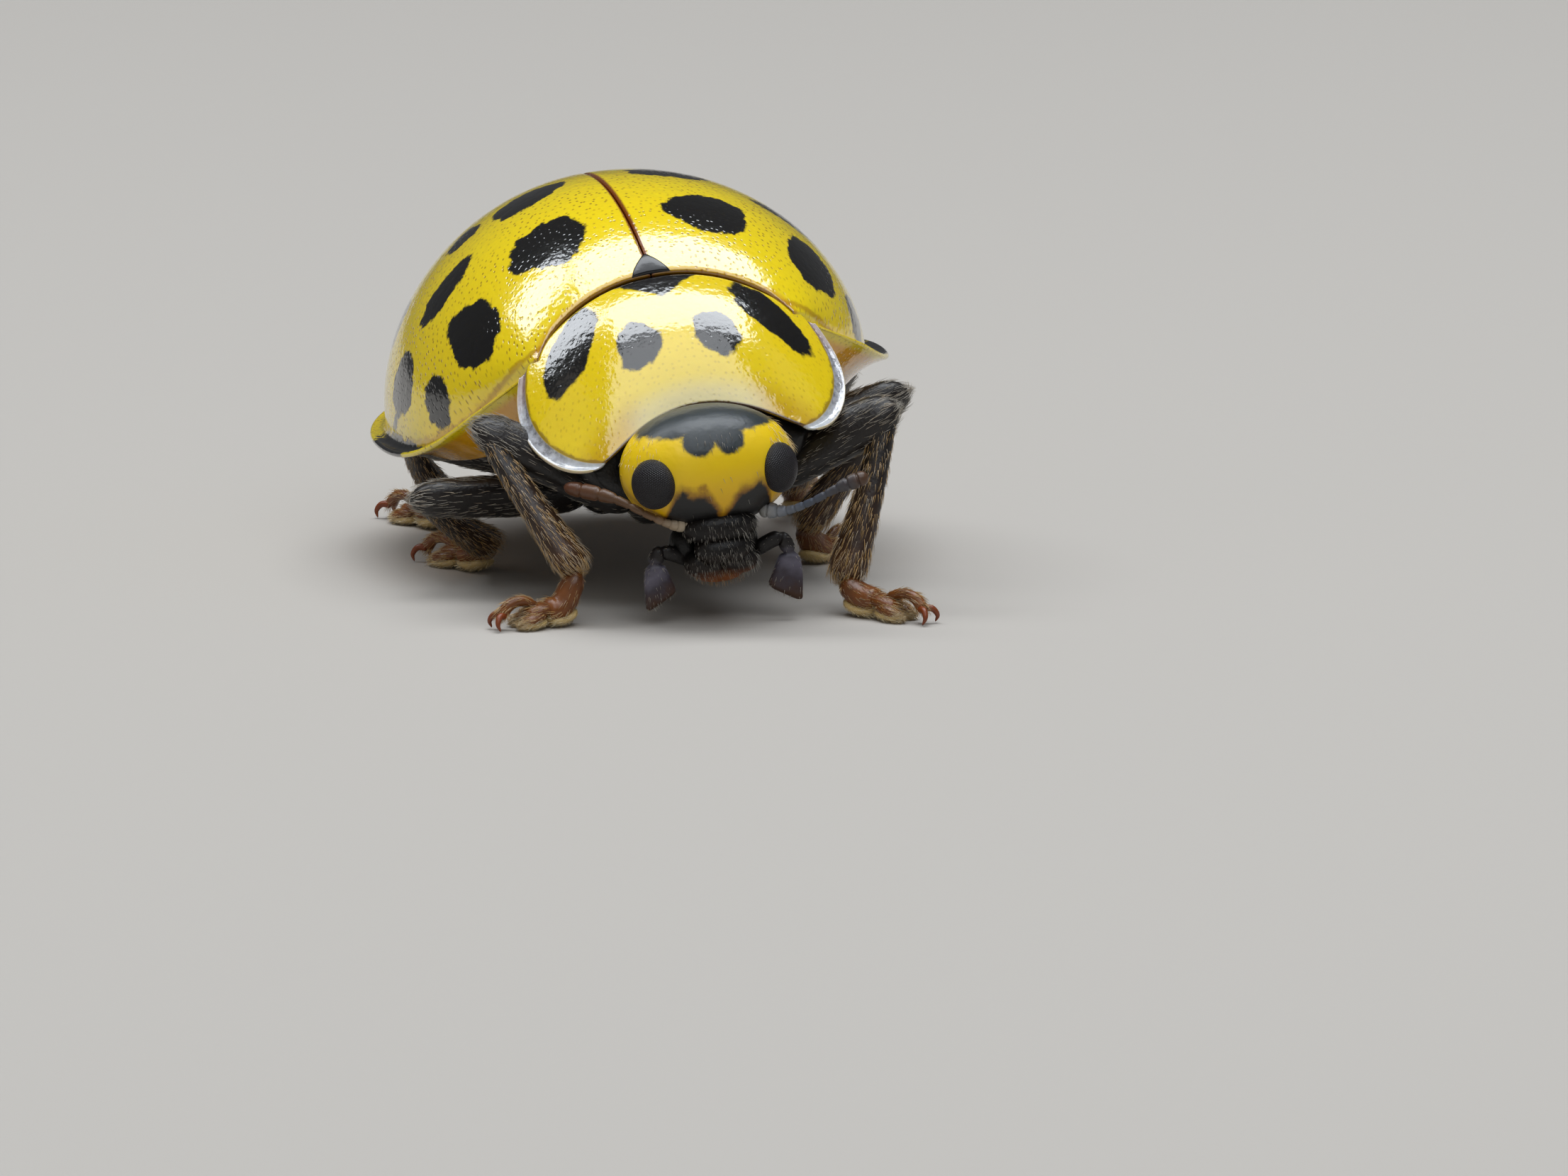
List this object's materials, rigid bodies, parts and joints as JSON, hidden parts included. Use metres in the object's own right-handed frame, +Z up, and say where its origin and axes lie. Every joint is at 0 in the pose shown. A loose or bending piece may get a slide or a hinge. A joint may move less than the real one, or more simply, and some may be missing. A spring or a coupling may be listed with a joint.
{
  "type": "twenty-two-spot ladybird",
  "caption": "Life-size standing ladybird beetle: domed yellow wing cases with black spots, spotted shield behind a yellow face, jointed legs and feelers.",
  "frame": {"origin": "on the floor under the middle of the whole beetle, with the six feet's flat soles at z = 0", "axes": "+Z up, the head faces -Y, +X is the beetle's own left side"},
  "size_m": [0.0035, 0.0047, 0.0026],
  "materials": {
    "wing_case": "glossy bright yellow cuticle with black spots and fine brown pits",
    "pronotum": "glossy yellow cuticle with five black spots and clear pale side rims",
    "scutellum": "glossy black",
    "head": "satin yellow face with a black band on the crown",
    "eye": "dull black with a fine facet grid",
    "mouthparts": "dull black and brown, hairy",
    "antenna": "horn brown, dull",
    "palp": "dark grey brown, downy",
    "leg": "dark brown, striated, with flat golden hairs",
    "foot": "orange brown with cream pads underneath",
    "underside": "dull black with short pale down"
  },
  "bodies": {
    "root": {"scutellum": "scutellum", "wing_case_left": "wing_case", "wing_case_right": "wing_case", "pronotum": "pronotum", "prosternum": "underside", "thorax_underside": "underside", "abdomen": "underside", "head": "head", "labrum": "mouthparts", "mouth": "mouthparts", "eye_left": "eye", "eye_right": "eye", "antenna_left": "antenna", "antenna_right": "antenna", "palp_left": "palp", "palp_right": "palp", "coxa_front_right": "leg", "femur_front_right": "leg", "tibia_front_right": "leg", "tarsus_front_right": "foot", "coxa_front_left": "leg", "femur_front_left": "leg", "tibia_front_left": "leg", "tarsus_front_left": "foot", "coxa_middle_right": "leg", "femur_middle_right": "leg", "tibia_middle_right": "leg", "tarsus_middle_right": "foot", "coxa_middle_left": "leg", "femur_middle_left": "leg", "tibia_middle_left": "leg", "tarsus_middle_left": "foot", "coxa_hind_right": "leg", "femur_hind_right": "leg", "tibia_hind_right": "leg", "tarsus_hind_right": "foot", "coxa_hind_left": "leg", "femur_hind_left": "leg", "tibia_hind_left": "leg", "tarsus_hind_left": "foot"}
  },
  "joints": []
}
